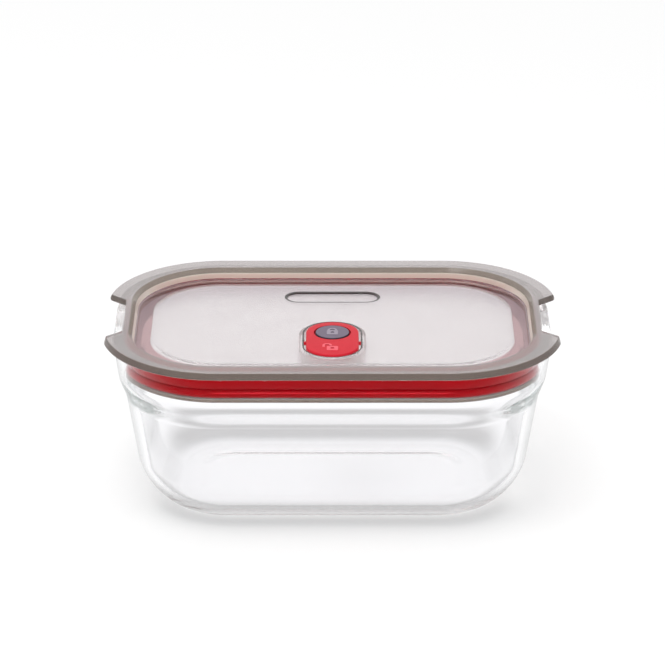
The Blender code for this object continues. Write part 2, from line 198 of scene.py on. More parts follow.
# Patterns: noise cells to the metre, with the size of one cell. The real grain of these
# moulded faces is about 0.1 mm, too fine to show, so it is drawn as coarse as it needs to be.
GLASS_RIPPLE = 35  # 29 mm, the slow waves that pressing leaves
LID_GRAIN = 900  # 1.1 mm
LID_CLOUD = 60  # 17 mm, where the mould is polished unevenly
SEAL_GRAIN = 1500  # 0.7 mm
SEAL_CLOUD = 120  # 8 mm, pigment that isn't quite evenly mixed
ROCKER_GRAIN = 2500  # 0.4 mm
ROCKER_CLOUD = 250  # 4 mm
BUTTON_GRAIN = 1800  # 0.6 mm
BUTTON_CLOUD = 300  # 3 mm
RELIEF_GRAIN = 900  # 1.1 mm
GLASS_RIPPLE_DEPTH = 0.0002
LID_GRAIN_DEPTH = 0.00005
ROCKER_GRAIN_DEPTH = 0.00004
SILICONE_GRAIN_DEPTH = 0.00003

# Camera and stage
CAMERA_ELEVATION = math.radians(22.36)
CAMERA_DISTANCE = 1.8
PHOTO_PIXELS = 665
FOCAL_PIXELS = 3858.7
AIM_PIXEL_X = 332.4
AIM_PIXEL_Y = 315.1
FLOOR_SIZE = 12.0
FLOOR_DROP = 0.00005
VIEW_DEPTH = 20
LIGHT_BOUNCES = 256
CLEAR_LAYERS = 32

# Places that follow
CORNER_X = glass_high.x - RIM_OFFSET
CORNER_Y = glass_high.y - RIM_OFFSET
GLASS_TOP = glass_high.z
COLLAR_INNER_OFFSET = RIM_OFFSET - RIM_WIDTH
SHOULDER_FOOT = GLASS_TOP - COLLAR_HEIGHT - SHOULDER_HEIGHT
WALL_TOP_OFFSET = RIM_OFFSET - COLLAR_DRAW_IN - SHOULDER_STEP
LID_TOP = lid_high.z
LID_SEAT = LID_TOP - FLANGE_THICKNESS
PLUG_BOTTOM = lid_low.z
SEAL_OUTER_OFFSET = seal_high.x - CORNER_X
SEAL_BACK_OFFSET = SEAL_OUTER_OFFSET - SEAL_DEPTH
PLUG_OUTER_OFFSET = SEAL_BACK_OFFSET - FIT_GAP
PLUG_INNER_OFFSET = PLUG_OUTER_OFFSET - PLUG_WALL
PANEL_TOP = LID_TOP - PANEL_DEPTH
PANEL_FOOT = PANEL_EDGE_OFFSET + PANEL_EDGE_SLOPE
CHANNEL_FLOOR = LID_TOP - CHANNEL_DEPTH
CHANNEL_BREAK_HEIGHT = LID_TOP - CHANNEL_BREAK_DEPTH
MILKY_TOP = LID_TOP - MILKY_DEPTH
LIP_TOP = PLUG_BOTTOM + LIP_HEIGHT
FLANGE_CENTRE_X = glass_high.x + FLANGE_END_OVERHANG - FLANGE_CORNER_RADIUS
FLANGE_CENTRE_Y = glass_high.y + FLANGE_SIDE_OVERHANG - FLANGE_CORNER_RADIUS
VENT_FRONT_CENTRE_Y = VENT_REAR_CENTRE_Y - VENT_STRAIGHT
VENT_CENTRE_Y = VENT_REAR_CENTRE_Y - VENT_STRAIGHT / 2
POCKET_RADIUS = ROCKER_RADIUS + POCKET_GAP
POCKET_FLOOR = PANEL_TOP - POCKET_DEPTH
ROCKER_BOTTOM = rocker_low.z
BUTTON_TOP = plug_high.z
ROCKER_TOP = BUTTON_TOP - BUTTON_PROUD
PIVOT_HEIGHT = ROCKER_TOP - TRUNNION_DEPTH


# Modelling by hand: lines drawn out of a vertex, spun, extruded, mirrored and cut


def drawn_line(name, points, closed=False):
    """A new piece in edit mode: a line of edges through the points, extruded from one vertex."""
    bpy.ops.object.select_all(action="DESELECT")
    bpy.ops.mesh.primitive_plane_add(size=SUPPORT_WIDTH, location=points[0])
    piece = bpy.context.object
    piece.name = name
    piece.data.name = name
    bpy.ops.object.transform_apply(location=True, rotation=False, scale=False)
    bpy.ops.object.mode_set(mode="EDIT")
    bpy.ops.mesh.select_mode(type="VERT")
    bpy.ops.mesh.select_all(action="SELECT")
    bpy.ops.mesh.merge(type="CENTER")
    for here, following in zip(points, points[1:]):
        step = Vector(following) - Vector(here)
        bpy.ops.mesh.extrude_vertices_move(TRANSFORM_OT_translate={"value": step})
    if closed:
        pick(piece, "VERT", lambda vertex: len(vertex.link_edges) == 1)
        bpy.ops.mesh.edge_face_add()
    return piece


def choose(piece):
    """Makes the piece the only selected one."""
    bpy.ops.object.select_all(action="DESELECT")
    bpy.context.view_layer.objects.active = piece
    piece.select_set(True)


def pick(piece, kind, wanted):
    """Selects the vertices, edges or faces, as kind says, that pass the test and no others."""
    bpy.ops.mesh.select_all(action="DESELECT")
    bpy.ops.mesh.select_mode(type=kind)
    mesh = bmesh.from_edit_mesh(piece.data)
    for part in {"VERT": mesh.verts, "EDGE": mesh.edges, "FACE": mesh.faces}[kind]:
        part.select = wanted(part)
    mesh.select_flush_mode()
    bmesh.update_edit_mesh(piece.data)


def finish_faces(piece, material, wanted):
    """Gives the faces that pass the test a material of their own."""
    piece.data.materials.append(material)
    edit(piece)
    pick(piece, "FACE", wanted)
    piece.active_material_index = len(piece.data.materials) - 1
    bpy.ops.object.material_slot_assign()
    bpy.ops.object.mode_set(mode="OBJECT")


def edit(piece):
    """Opens the piece in edit mode, with all of it selected."""
    choose(piece)
    bpy.ops.object.mode_set(mode="EDIT")
    bpy.ops.mesh.select_mode(type="VERT")
    bpy.ops.mesh.select_all(action="SELECT")


def close_up(piece):
    """Merges seams, fills the open ends and turns all faces outwards."""
    edit(piece)
    bpy.ops.mesh.remove_doubles(threshold=MERGE_DISTANCE)
    bpy.ops.mesh.fill_holes(sides=0)
    bpy.ops.mesh.select_all(action="SELECT")
    bpy.ops.mesh.normals_make_consistent(inside=False)
    bpy.ops.object.mode_set(mode="OBJECT")


def smooth(piece):
    """Shades the piece smooth, but for its sharp edges."""
    choose(piece)
    bpy.ops.object.shade_smooth_by_angle(angle=SHARP_ANGLE)


def spun_corner(name, profile, closed=False):
    """An (offset, height) profile drawn beside a corner centre and spun round the corner."""
    points = [(CORNER_X, CORNER_Y + offset, height) for offset, height in profile]
    piece = drawn_line(name, points, closed)
    bpy.ops.mesh.select_all(action="SELECT")
    centre = (CORNER_X, CORNER_Y, 0)
    bpy.ops.mesh.spin(steps=CORNER_STEPS, angle=math.pi / 2, center=centre, axis=(0, 0, 1))
    return piece


def run_straight(piece, column_reach=MERGE_DISTANCE):
    """Carries both ends of a corner, whose columns may lie a little apart, to the middle planes."""
    for axis, centre in enumerate((CORNER_X, CORNER_Y)):
        inwards = Vector((0, 0, 0))
        inwards[axis] = -STRAIGHT_SUPPORT
        flat = Vector((1, 1, 1))
        flat[axis] = 0
        pick(piece, "VERT", lambda vertex: vertex.co[axis] < centre + column_reach)
        bpy.ops.mesh.extrude_region_move(TRANSFORM_OT_translate={"value": inwards})
        bpy.ops.mesh.extrude_region_move(TRANSFORM_OT_translate={"value": inwards})
        bpy.ops.transform.resize(value=flat, center_override=(0, 0, 0))


def mirror_round(piece):
    """Mirrors a corner to all four and closes the shape."""
    bpy.ops.object.mode_set(mode="OBJECT")
    bpy.ops.object.modifier_add(type="MIRROR")
    mirror = piece.modifiers[-1]
    mirror.use_axis = (True, True, False)
    mirror.merge_threshold = MERGE_DISTANCE
    bpy.ops.object.modifier_apply(modifier=mirror.name)
    close_up(piece)


def filled(name, outline, low, high):
    """A solid over a closed (x, y) outline, from one height to another."""
    piece = drawn_line(name, [(x, y, low) for x, y in outline], closed=True)
    bpy.ops.mesh.select_all(action="SELECT")
    bpy.ops.mesh.edge_face_add()
    bpy.ops.mesh.extrude_region_move(TRANSFORM_OT_translate={"value": (0, 0, high - low)})
    bpy.ops.object.mode_set(mode="OBJECT")
    close_up(piece)
    return piece


def turned(name, profile, centre_y):
    """A solid of revolution about an upright axis, from a (radius, height) profile."""
    piece = drawn_line(name, [(radius, centre_y, height) for radius, height in profile])
    bpy.ops.mesh.select_all(action="SELECT")
    centre = (0, centre_y, 0)
    bpy.ops.mesh.spin(steps=2 * ROUND_STEPS, angle=2 * math.pi, center=centre, axis=(0, 0, 1))
    bpy.ops.object.mode_set(mode="OBJECT")
    close_up(piece)
    return piece


def disc_profile(radius, low, high):
    """(radius, height) points round a plain round disc."""
    return [(0, low), (radius, low), (radius, high), (0, high)]


def combine(piece, tool, operation):
    """Cuts the tool from the piece, or unites them, and throws the tool away."""
    choose(piece)
    bpy.ops.object.modifier_add(type="BOOLEAN")
    modifier = piece.modifiers[-1]
    modifier.operation = operation
    modifier.object = tool
    bpy.ops.object.modifier_apply(modifier=modifier.name)
    bpy.data.objects.remove(tool)


def soften(piece, width, wanted, segments=3):
    """Rounds the sharp edges whose middle passes the test."""
    edit(piece)
    pick(
        piece,
        "EDGE",
        lambda edge: edge.calc_face_angle(0) > SHARP_ANGLE
        and wanted((edge.verts[0].co + edge.verts[1].co) / 2),
    )
    bpy.ops.mesh.bevel(offset=width, segments=segments, affect="EDGES", clamp_overlap=True)
    bpy.ops.object.mode_set(mode="OBJECT")


# Outlines and profiles


def arc(centre_x, centre_y, radius, start, sweep, steps):
    """Points along an arc, from the angle start on through sweep."""
    angles = [start + sweep * i / steps for i in range(steps + 1)]
    return [(centre_x + radius * math.cos(a), centre_y + radius * math.sin(a)) for a in angles]


def offset_of(place):
    """How far a place lies outside the rectangle of the corner centres."""
    return math.hypot(max(abs(place.x) - CORNER_X, 0), max(abs(place.y) - CORNER_Y, 0))


def filleted(corners):
    """Points through (offset, height, radius) corners, each rounded to its radius."""
    points = []
    for i, (offset, height, radius) in enumerate(corners):
        here = Vector((offset, height))
        if radius == 0:
            points.append(here)
            continue
        back = (Vector(corners[i - 1][:2]) - here).normalized()
        ahead = (Vector(corners[i + 1][:2]) - here).normalized()
        half = back.angle(ahead) / 2
        centre = here + (back + ahead).normalized() * radius / math.sin(half)
        first = here + back * radius / math.tan(half) - centre
        last = here + ahead * radius / math.tan(half) - centre
        for step in range(FILLET_STEPS + 1):
            points.append(centre + radius * first.slerp(last, step / FILLET_STEPS))
    return points


def long_round_outline(radius, rear_reach=0):
    """The vent's round-ended outline, which runs along Y."""
    rear = arc(0, VENT_REAR_CENTRE_Y + rear_reach, radius, 0, math.pi, ROUND_STEPS)
    return rear + arc(0, VENT_FRONT_CENTRE_Y, radius, math.pi, math.pi, ROUND_STEPS)


def pill_outline(margin=0):
    """The recess's round-ended outline, which runs along X, or one a margin outside it."""
    radius = PILL_WIDTH / 2 + margin
    reach = PILL_LENGTH / 2 + margin - radius
    right = arc(reach, PILL_CENTRE_Y, radius, -math.pi / 2, math.pi, ROUND_STEPS)
    return right + arc(-reach, PILL_CENTRE_Y, radius, math.pi / 2, math.pi, ROUND_STEPS)


# Glass container


def shoulder(start, end, start_lean, end_lean):
    """A smooth S between two (offset, height) points that leaves and meets straight walls."""
    drop = start[1] - end[1]
    points = []
    for i in range(SHOULDER_STEPS + 1):
        t = i / SHOULDER_STEPS
        offset = (2 * t**3 - 3 * t**2 + 1) * start[0] + (3 * t**2 - 2 * t**3) * end[0]
        offset -= (t**3 - 2 * t**2 + t) * drop * start_lean + (t**3 - t**2) * drop * end_lean
        points.append((offset, start[1] - t * drop))
    return points


def round_edge(start, corner, end):
    """The round bottom edge: a conic from start to end that leans towards corner."""
    points = []
    for i in range(EDGE_STEPS + 1):
        t = i / EDGE_STEPS
        pulls = ((1 - t) ** 2, 2 * t * (1 - t) * EDGE_FULLNESS, t**2)
        offset = sum(pull * point[0] for pull, point in zip(pulls, (start, corner, end)))
        height = sum(pull * point[1] for pull, point in zip(pulls, (start, corner, end)))
        points.append((offset / sum(pulls), height / sum(pulls)))
    return points


def glass_side(collar_top, collar_foot, shoulder_foot, edge_rise, edge_reach, floor):
    """(offset, height) points down one side of the glass, from the collar to the floor."""
    edge_top = floor + edge_rise
    lean = WALL_LEAN * (shoulder_foot[1] - edge_top)
    edge_start = (shoulder_foot[0] - lean, edge_top)
    corner = (edge_start[0] - WALL_LEAN * edge_rise, floor)
    edge_end = (edge_start[0] - edge_reach, floor)
    collar_lean = (collar_top[0] - collar_foot[0]) / (collar_top[1] - collar_foot[1])
    points = shoulder(collar_foot, shoulder_foot, collar_lean, WALL_LEAN)
    return points + round_edge(edge_start, corner, edge_end)


def ease_corner(piece, profile, eased_from):
    """Opens the corner of each ring below eased_from a little, as the pressed glass has it."""
    for offset, height in profile:
        ease = CORNER_EASE * max(eased_from - offset, 0)
        scale = 1 + ease / offset

        def on_ring(vertex):
            reach = math.hypot(vertex.co.x - CORNER_X, vertex.co.y - CORNER_Y)
            return max(abs(reach - offset), abs(vertex.co.z - height)) < MERGE_DISTANCE

        pick(piece, "VERT", on_ring)
        middle = (CORNER_X + offset, CORNER_Y + offset, height)
        bpy.ops.transform.resize(value=(scale, scale, 1), center_override=middle)


def glass_container(material):
    """The pressed box, from one corner that is spun, eased open and mirrored."""
    inner = COLLAR_INNER_OFFSET
    side_top = GLASS_TOP - RIM_ROUNDING
    quarter = math.pi / 2
    outer_centre, inner_centre = RIM_OFFSET - RIM_ROUNDING, inner + RIM_ROUNDING
    outer_rim = arc(outer_centre, side_top, RIM_ROUNDING, quarter, -quarter, RIM_STEPS)
    inner_rim = arc(inner_centre, side_top, RIM_ROUNDING, 2 * quarter, -quarter, RIM_STEPS)
    outside = outer_rim + glass_side(
        (RIM_OFFSET, side_top),
        (RIM_OFFSET - COLLAR_DRAW_IN, GLASS_TOP - COLLAR_HEIGHT),
        (WALL_TOP_OFFSET, SHOULDER_FOOT),
        BASE_EDGE_RISE,
        BASE_EDGE_REACH,
        0,
    )
    inside = glass_side(
        (inner, side_top),
        (inner - INNER_COLLAR_DRAW_IN, GLASS_TOP - INNER_COLLAR_HEIGHT),
        (WALL_TOP_OFFSET - WALL_THICKNESS, SHOULDER_FOOT),
        INNER_EDGE_RISE,
        INNER_EDGE_REACH,
        FLOOR_THICKNESS,
    )
    foot_inner = outside[-1][0] - FOOT_RING_WIDTH
    foot = []
    for i in range(FOOT_STEPS + 1):
        t = i / FOOT_STEPS
        rise = FOOT_RECESS_DEPTH * (3 * t**2 - 2 * t**3)
        foot.append((foot_inner - t * FOOT_RECESS_SLOPE, rise))
    floor_support = (inside[-1][0] - SUPPORT_WIDTH, FLOOR_THICKNESS)
    inside = inner_rim[::-1] + inside + [floor_support]
    outside = outside + foot + [(foot[-1][0] - SUPPORT_WIDTH, FOOT_RECESS_DEPTH)]
    piece = spun_corner("glass_box", inside[::-1] + outside)
    run_straight(piece)
    ease_corner(piece, inside, inner)
    ease_corner(piece, outside, RIM_OFFSET)
    mirror_round(piece)
    smooth(piece)
    piece.data.materials.append(material)
    return piece


# Lid


def lid_profile():
    """(offset, height) points round the lid, from the panel's top to its underside."""
    lip_outer = SEAL_OUTER_OFFSET - LIP_INSET
    panel_under = PANEL_TOP - LID_SHEET
    channel_under = CHANNEL_FLOOR - LID_SHEET
    flange_top_edge = FLANGE_CORNER_RADIUS - FLANGE_EDGE_SLANT
    channel_break = PLUG_INNER_OFFSET + CHANNEL_BREAK_REACH
    return filleted(
        [
            (PANEL_EDGE_OFFSET - SUPPORT_WIDTH, PANEL_TOP, 0),
            (PANEL_EDGE_OFFSET, PANEL_TOP, PANEL_FILLET),
            (PANEL_FOOT, CHANNEL_FLOOR, PANEL_FILLET),
            (PLUG_INNER_OFFSET, CHANNEL_FLOOR, CHANNEL_FILLET),
            (channel_break, CHANNEL_BREAK_HEIGHT, CHANNEL_FILLET),
            (COLLAR_INNER_OFFSET - FLANGE_INNER_INSET, LID_TOP, SMALL_FILLET),
            (flange_top_edge, LID_TOP, FLANGE_ROUNDING),
            (FLANGE_CORNER_RADIUS, LID_SEAT + FLANGE_ROUNDING, FLANGE_ROUNDING / 3),
            (FLANGE_CORNER_RADIUS - FLANGE_ROUNDING, LID_SEAT, FLANGE_ROUNDING / 3),
            (PLUG_OUTER_OFFSET, LID_SEAT, 0),
            (PLUG_OUTER_OFFSET, MILKY_TOP - MILKY_STEP, 0),
            (PLUG_OUTER_OFFSET, LIP_TOP, 0),
            (lip_outer, LIP_TOP, SMALL_FILLET),
            (lip_outer, PLUG_BOTTOM, SMALL_FILLET),
            (PLUG_INNER_OFFSET, PLUG_BOTTOM, SMALL_FILLET),
            (PLUG_INNER_OFFSET, MILKY_TOP, 0),
            (PLUG_INNER_OFFSET, channel_under, CHANNEL_FILLET),
            (PANEL_FOOT, channel_under, PANEL_FILLET),
            (PANEL_EDGE_OFFSET, panel_under, PANEL_FILLET),
            (PANEL_EDGE_OFFSET - SUPPORT_WIDTH, panel_under, 0),
        ]
    )


def widen_flange(piece):
    """Moves the flange's outer edge, whose corners have centres of their own."""

    def outer(vertex):
        return math.hypot(vertex.co.x - CORNER_X, vertex.co.y - CORNER_Y) > RIM_OFFSET

    pick(piece, "VERT", outer)
    shift = (FLANGE_CENTRE_X - CORNER_X, FLANGE_CENTRE_Y - CORNER_Y, 0)
    bpy.ops.transform.translate(value=shift)


def ear_corner(inner_x, slant):
    """Centre of the round tip of an ear, and the angle at which it meets the flange's edge.

    The tip touches the notch's side from above and the flange's corner from inside.
    """
    reach = FLANGE_CORNER_RADIUS - EAR_TIP_RADIUS
    stretch = math.sqrt(1 + slant**2)
    start = NOTCH_INNER_HALF_WIDTH - slant * inner_x + EAR_TIP_RADIUS * stretch - FLANGE_CENTRE_Y
    half_b = slant * start - FLANGE_CENTRE_X
    c = FLANGE_CENTRE_X**2 + start**2 - reach**2
    ear_x = (-half_b + math.sqrt(half_b**2 - stretch**2 * c)) / stretch**2
    rise = start + slant * ear_x
    return ear_x, FLANGE_CENTRE_Y + rise, math.atan2(rise, ear_x - FLANGE_CENTRE_X)


def notch_cutter(side):
    """A plan wedge through the flange at one end; side is 1 or -1 along X."""
    inner_x = glass_high.x - RIM_WIDTH + NOTCH_RIM_LAP
    outer_x = glass_high.x + FLANGE_END_OVERHANG
    slant = (NOTCH_OUTER_HALF_WIDTH - NOTCH_INNER_HALF_WIDTH) / (outer_x - inner_x)
    lean = math.atan(slant)
    turn = math.pi / 2 - lean
    radius = NOTCH_CORNER_RADIUS
    inner_y = NOTCH_INNER_HALF_WIDTH - radius * math.tan(turn / 2)
    inner = arc(inner_x + radius, inner_y, radius, math.pi / 2 + lean, turn, NOTCH_STEPS)
    ear_x, ear_y, mouth = ear_corner(inner_x, slant)
    ear = arc(ear_x, ear_y, EAR_TIP_RADIUS, -turn, mouth + turn, NOTCH_STEPS)
    past = EAR_TIP_RADIUS + CUT_OVERRUN
    corner = (ear_x + past * math.cos(mouth), ear_y + past * math.sin(mouth))
    upper = [(outer_x + past, corner[1]), corner] + ear[::-1] + inner
    lower = [(x, -y) for x, y in reversed(upper)]
    outline = [(side * x, side * y) for x, y in upper + lower]
    return filled("notch_cutter", outline, LID_SEAT - CUT_OVERRUN, LID_TOP + CUT_OVERRUN)


def pivot_bar(name, radius, half_length):
    """A round bar along X through the rocker's pivot."""
    bpy.ops.object.select_all(action="DESELECT")
    bpy.ops.mesh.primitive_cylinder_add(
        vertices=ROUND_STEPS,
        radius=radius,
        depth=2 * half_length,
        location=(0, VENT_CENTRE_Y, PIVOT_HEIGHT),
        rotation=(0, math.pi / 2, 0),
    )
    bar = bpy.context.object
    bar.name = name
    bpy.ops.object.transform_apply(location=True, rotation=True, scale=False)
    return bar


def sink(piece, name, outline, depth):
    """Cuts an (x, y) outline into the panel, down to a depth."""
    cutter = filled(name, outline, PANEL_TOP - depth, PANEL_TOP + CUT_OVERRUN)
    combine(piece, cutter, "DIFFERENCE")


def add_vent_well(piece):
    """The pocket under the panel in which the rocker tilts, with its steam hole and seat."""
    well_bottom = POCKET_FLOOR - WELL_FLOOR
    well_top = PANEL_TOP - LID_SHEET / 2
    seat_top = POCKET_FLOOR + SEAT_HEIGHT
    seat = disc_profile(SEAT_RADIUS, POCKET_FLOOR - WELL_FLOOR / 2, seat_top)
    hole = disc_profile(VENT_HOLE_RADIUS, well_bottom - CUT_OVERRUN, seat_top + CUT_OVERRUN)
    well = filled("well", long_round_outline(POCKET_RADIUS + WELL_WALL), well_bottom, well_top)
    soften(well, CHANNEL_FILLET, lambda place: place.z < well_bottom + MERGE_DISTANCE)
    combine(piece, well, "UNION")
    sink(piece, "pocket", long_round_outline(POCKET_RADIUS), PANEL_TOP - POCKET_FLOOR)
    sink(piece, "pocket_rim", long_round_outline(POCKET_RADIUS + RIM_LEDGE_WIDTH), RIM_LEDGE_DEPTH)
    combine(piece, turned("seat", seat, VENT_REAR_CENTRE_Y), "UNION")
    combine(piece, turned("steam_hole", hole, VENT_REAR_CENTRE_Y), "DIFFERENCE")
    socket_reach = ROCKER_RADIUS + TRUNNION_REACH + FIT_GAP
    sockets = pivot_bar("trunnion_sockets", TRUNNION_RADIUS + FIT_GAP, socket_reach)
    combine(piece, sockets, "DIFFERENCE")


def on_flange(face):
    """The flange down to the break in the channel's wall, and the plug's lip."""
    place = face.calc_center_median()
    low = place.z < LIP_TOP + SMALL_FILLET
    high = place.z > CHANNEL_BREAK_HEIGHT
    return high and face.normal.z > -STEEP_SHARE or low and offset_of(place) > PLUG_INNER_OFFSET


def on_outer_edge(face):
    """The flange's outer edge, with the sides of its finger notches."""
    place = face.calc_center_median()
    steep = abs(face.normal.z) < STEEP_SHARE
    return steep and place.z > LID_SEAT and offset_of(place) > COLLAR_INNER_OFFSET


def on_pale_wall(face):
    """The lower part of the channel's wall."""
    place = face.calc_center_median()
    steep = abs(face.normal.z) < STEEP_SHARE
    in_channel = CHANNEL_FLOOR < place.z < CHANNEL_BREAK_HEIGHT
    return steep and in_channel and PLUG_INNER_OFFSET - SMALL_FILLET < offset_of(place) < RIM_OFFSET


def on_milky_wall(face):
    """The plug's wall from below the seal's top."""
    place = face.calc_center_median()
    offset = offset_of(place)
    over_lip = place.z > LIP_TOP or offset < PLUG_INNER_OFFSET + MERGE_DISTANCE
    return over_lip and place.z < MILKY_TOP and offset > PANEL_EDGE_OFFSET


def on_channel(face):
    """The channel's floor and the plug's wall behind it, down to the milky part."""
    place = face.calc_center_median()
    foot = PANEL_FOOT - CHANNEL_FILLET / 2
    below_break = place.z < CHANNEL_FLOOR + CHANNEL_FILLET / 3
    clear_height = place.z > MILKY_TOP - MILKY_STEP
    return clear_height and below_break and offset_of(place) > foot and not on_pale_wall(face)


def on_dark_rim(face):
    """The ledge and wall round the pill, and the ledge round the vent's pocket."""
    place = face.calc_center_median()
    top = PANEL_TOP - RIM_LEDGE_DEPTH / 3
    pill_reach = PILL_LEDGE_WIDTH + FIT_GAP
    near_pill = (
        abs(place.x) < PILL_LENGTH / 2 + pill_reach
        and abs(place.y - PILL_CENTRE_Y) < PILL_WIDTH / 2 + pill_reach
    )
    pill_floor = face.normal.z > STEEP_SHARE and place.z < PANEL_TOP - PILL_DEPTH / 2
    pill_rim = near_pill and not pill_floor and PANEL_TOP - PILL_DEPTH - FIT_GAP < place.z < top
    pocket_reach = POCKET_RADIUS + RIM_LEDGE_WIDTH + FIT_GAP
    near_pocket = (
        abs(place.x) < pocket_reach
        and abs(place.y - VENT_CENTRE_Y) < VENT_STRAIGHT / 2 + pocket_reach
    )
    return pill_rim or near_pocket and PANEL_TOP - POCKET_RIM_BAND < place.z < top


def lid(panel_finish, other_finishes):
    """The lid's one moulding; each other finish comes with the test for the faces that have it."""
    piece = spun_corner("smoky_lid", lid_profile())
    widen_flange(piece)
    run_straight(piece, END_COLUMN_REACH)
    mirror_round(piece)
    add_vent_well(piece)
    sink(piece, "pill", pill_outline(), PILL_DEPTH)
    sink(piece, "pill_rim", pill_outline(PILL_LEDGE_WIDTH), RIM_LEDGE_DEPTH)
    for side in (1, -1):
        combine(piece, notch_cutter(side), "DIFFERENCE")
    piece.data.materials.append(panel_finish)
    for finish, on_place in other_finishes:
        finish_faces(piece, finish, on_place)
    smooth(piece)
    return piece


# Seal ring


def rib(low, high):
    """(offset, height) points over one rounded rib, from its foot to its top."""
    root = SEAL_OUTER_OFFSET - SEAL_GROOVE_DEPTH
    middle = (low + high) / 2
    half = (high - low) / 2
    angles = [math.pi * (i / RIB_STEPS - 1 / 2) for i in range(RIB_STEPS + 1)]
    return [(root + SEAL_GROOVE_DEPTH * math.cos(a), middle + half * math.sin(a)) for a in angles]


def seal_ring(material):
    """The ring with its two ribs, drawn as it is before it's squeezed."""
    low, high = seal_low.z, seal_high.z
    waist = high - SEAL_UPPER_RIB_SHARE * (high - low)
    profile = [(SEAL_BACK_OFFSET, low)] + rib(low, waist) + rib(waist, high)[1:]
    piece = spun_corner("red_seal", profile + [(SEAL_BACK_OFFSET, high)], closed=True)
    run_straight(piece)
    mirror_round(piece)
    smooth(piece)
    piece.data.materials.append(material)
    return piece


# Vent rocker and plug


def vent_rocker(material):
    """The tilting rocker, with its trunnions and the round bed for the button."""
    piece = filled(
        "red_rocker",
        long_round_outline(ROCKER_RADIUS, ROCKER_REAR_REACH),
        ROCKER_BOTTOM,
        ROCKER_TOP,
    )
    soften(
        piece,
        ROCKER_ROUNDING,
        lambda place: place.z > ROCKER_TOP - MERGE_DISTANCE,
        ROCKER_ROUNDING_STEPS,
    )
    trunnions = pivot_bar("trunnions", TRUNNION_RADIUS, ROCKER_RADIUS + TRUNNION_REACH)
    combine(piece, trunnions, "UNION")
    bed_floor = BUTTON_TOP - BUTTON_THICKNESS - FIT_GAP
    hole_radius = STEM_RADIUS + FIT_GAP
    low, high = ROCKER_BOTTOM - CUT_OVERRUN, ROCKER_TOP + CUT_OVERRUN
    cut = [(0, low), (hole_radius, low), (hole_radius, bed_floor)]
    cut += [(BED_RADIUS, bed_floor), (BED_RADIUS, high), (0, high)]
    combine(piece, turned("bed_cutter", cut, VENT_REAR_CENTRE_Y), "DIFFERENCE")
    smooth(piece)
    piece.data.materials.append(material)
    return piece


def on_button_side(face):
    """The button's side and the lower half of its rounded edge."""
    place = face.calc_center_median()
    reach = math.hypot(place.x, place.y - VENT_REAR_CENTRE_Y)
    on_edge = place.z > BUTTON_TOP - BUTTON_THICKNESS and reach > BUTTON_RADIUS - BUTTON_ROUNDING
    return on_edge and abs(face.normal.z) < BUTTON_SIDE_SHARE


def vent_plug(material, shaded_material):
    """The round button with its stem, the collar that holds it, and the foot that seals."""
    button_under = BUTTON_TOP - BUTTON_THICKNESS
    collar_top = ROCKER_BOTTOM - FIT_GAP
    collar_foot = collar_top - STEM_COLLAR_THICKNESS
    profile = filleted(
        [
            (0, plug_low.z, 0),
            (STEM_FOOT_RADIUS, plug_low.z, BUTTON_ROUNDING),
            (STEM_COLLAR_RADIUS, collar_foot, SMALL_FILLET),
            (STEM_COLLAR_RADIUS, collar_top, SMALL_FILLET),
            (STEM_RADIUS, collar_top, 0),
            (STEM_RADIUS, button_under, 0),
            (BUTTON_RADIUS, button_under, SMALL_FILLET),
            (BUTTON_RADIUS, BUTTON_TOP, BUTTON_ROUNDING),
            (BUTTON_RADIUS / 2, BUTTON_TOP - BUTTON_DISH, BUTTON_RADIUS),
            (0, BUTTON_TOP - BUTTON_DISH, 0),
        ]
    )
    piece = turned("grey_button_plug", profile, VENT_REAR_CENTRE_Y)
    smooth(piece)
    piece.data.materials.append(material)
    # Painted shade: the button's side is darker than its top
    finish_faces(piece, shaded_material, on_button_side)
    return piece


# Padlock marks


def lock_mark(name, centre_y, top, swing, rise, material, bow_material):
    """A raised padlock that reads upright from the front; swing and rise open its shackle."""
    side = LOCK_HALF_WIDTH - LOCK_CORNER_RADIUS
    far = centre_y + LOCK_HALF_LENGTH
    root = far - LOCK_CORNER_RADIUS
    near = centre_y - LOCK_HALF_LENGTH + LOCK_CORNER_RADIUS
    quarter = math.pi / 2
    body_outline = []
    for turns, (x, y) in enumerate(((side, root), (-side, root), (-side, near), (side, near))):
        body_outline += arc(x, y, LOCK_CORNER_RADIUS, turns * quarter, quarter, LOCK_CORNER_STEPS)
    piece = filled(name, body_outline, top - LOCK_ROOT, top + LOCK_RELIEF)
    crown = far + rise
    shackle_outline = (
        [(swing + SHACKLE_RADIUS, root + rise)]
        + arc(swing, crown, SHACKLE_RADIUS, 0, math.pi, SHACKLE_STEPS)
        + [(swing - SHACKLE_RADIUS, root), (swing - SHACKLE_INNER_RADIUS, root)]
        + arc(swing, crown, SHACKLE_INNER_RADIUS, math.pi, -math.pi, SHACKLE_STEPS)
        + [(swing + SHACKLE_INNER_RADIUS, root + rise)]
    )
    low = top - LOCK_ROOT + FIT_GAP
    combine(piece, filled("shackle", shackle_outline, low, top + SHACKLE_RELIEF), "UNION")
    keyhole = disc_profile(KEYHOLE_RADIUS, top - LOCK_RELIEF, top + 2 * LOCK_RELIEF)
    combine(piece, turned("keyhole", keyhole, centre_y), "DIFFERENCE")
    smooth(piece)
    piece.data.materials.append(material)

    # The shackle and keyhole take the bow material, which is painted shade
    def dark(face):
        places = [vertex.co for vertex in face.verts]
        hole_reach = max(math.hypot(place.x, place.y - centre_y) for place in places)
        in_bow = min(place.y for place in places) > far - MERGE_DISTANCE
        return in_bow or hole_reach < KEYHOLE_RADIUS + MERGE_DISTANCE

    finish_faces(piece, bow_material, dark)
    return piece


# Materials


def linear(colour):
    """The linear RGBA of an sRGB hex colour."""
    channels = [int(colour[i : i + 2], 16) / 255 for i in (1, 3, 5)]
    return [c / 12.92 if c <= 0.04045 else ((c + 0.055) / 1.055) ** 2.4 for c in channels] + [1]


